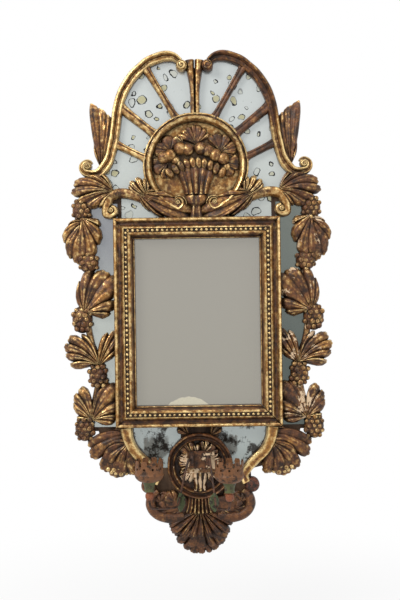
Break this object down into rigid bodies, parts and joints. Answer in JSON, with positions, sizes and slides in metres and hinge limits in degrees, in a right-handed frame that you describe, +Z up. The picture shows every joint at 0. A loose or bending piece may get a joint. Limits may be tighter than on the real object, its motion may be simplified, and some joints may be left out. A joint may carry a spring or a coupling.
{
  "type": "girandole mirror",
  "caption": "Carved giltwood wall mirror with an arched fan crest, vine garlands, a shell pendant and swinging candle arms that carry pierced drip crowns.",
  "frame": {"origin": "middle of the back, on the wall, behind the centre of the main mirror plate", "axes": "+Z up, the mirror faces -Y, +Y points into the wall, +X to the viewer's right"},
  "size_m": [0.5432, 0.2161, 1.0141],
  "materials": {
    "gilded_wood": "worn gold leaf over red-brown clay, satin",
    "board_wood": "old bare softwood, matt",
    "mirror_main": "old silvered glass",
    "mirror_small": "spotted old silvered glass",
    "wrought_iron": "dark rusted iron, matt",
    "salmon_tin": "worn terracotta paint, satin",
    "green_tin": "worn green paint, satin",
    "socket_tin": "dark bare sheet, satin",
    "green_wood": "worn green paint, satin",
    "red_wood": "worn orange-red paint, satin"
  },
  "bodies": {
    "mirror": {"apron_board": "board_wood", "apron_carving": "gilded_wood", "apron_collar": "gilded_wood", "apron_leaf_left": "gilded_wood", "apron_leaf_right": "gilded_wood", "apron_medallion": "gilded_wood", "apron_plates": "mirror_small", "apron_scroll_left": "gilded_wood", "apron_scroll_right": "gilded_wood", "arm_bracket": "wrought_iron", "basket": "gilded_wood", "basket_fruit": "gilded_wood", "batten_nails": "wrought_iron", "battens": "board_wood", "centre_board": "board_wood", "crest_arch_left": "gilded_wood", "crest_arch_right": "gilded_wood", "crest_board_left": "board_wood", "crest_board_right": "board_wood", "crest_corner_leaf_left": "gilded_wood", "crest_corner_leaf_right": "gilded_wood", "crest_disc": "gilded_wood", "crest_leaf_left": "gilded_wood", "crest_leaf_right": "gilded_wood", "crest_plates": "mirror_small", "crest_rib_centre": "gilded_wood", "crest_ribs": "gilded_wood", "crest_ring": "gilded_wood", "crest_scroll_left": "gilded_wood", "crest_scroll_right": "gilded_wood", "frame_beading": "gilded_wood", "frame_rail_bottom": "gilded_wood", "frame_rail_top": "gilded_wood", "frame_stile_left": "gilded_wood", "frame_stile_right": "gilded_wood", "garland_left": "gilded_wood", "garland_right": "gilded_wood", "hanging_staple": "wrought_iron", "lower_scroll_left": "gilded_wood", "lower_scroll_right": "gilded_wood", "mirror_plate": "mirror_main", "pivot_pins": "wrought_iron", "shell_pendant": "gilded_wood", "side_board_left": "board_wood", "side_board_right": "board_wood", "side_plate_left": "mirror_small", "side_plate_right": "mirror_small"},
    "arm_left": {"candle_arm_left": "wrought_iron", "arm_leaf_left": "green_tin", "arm_knob_left": "red_wood", "candle_stem_left": "green_wood", "drip_crown_left": "salmon_tin", "candle_nozzle_left": "socket_tin"},
    "arm_right": {"candle_arm_right": "wrought_iron", "arm_leaf_right": "green_tin", "arm_knob_right": "red_wood", "candle_stem_right": "green_wood", "drip_crown_right": "salmon_tin", "candle_nozzle_right": "socket_tin"},
    "ring": {"hanging_ring": "wrought_iron"}
  },
  "joints": [
    {"name": "arm_left_swing", "type": "hinge", "parent": "mirror", "child": "arm_left", "pos_m": [-0.016, -0.0595, -0.275], "axis": [0, 0, -1], "range_deg": [-28, 39]},
    {"name": "arm_right_swing", "type": "hinge", "parent": "mirror", "child": "arm_right", "pos_m": [0.016, -0.0595, -0.275], "axis": [0, 0, 1], "range_deg": [-8, 58]},
    {"name": "hanging_ring_swing", "type": "hinge", "parent": "mirror", "child": "ring", "pos_m": [0, -0.0102, 0.455], "axis": [1, 0, 0], "range_deg": [0, 120]}
  ]
}
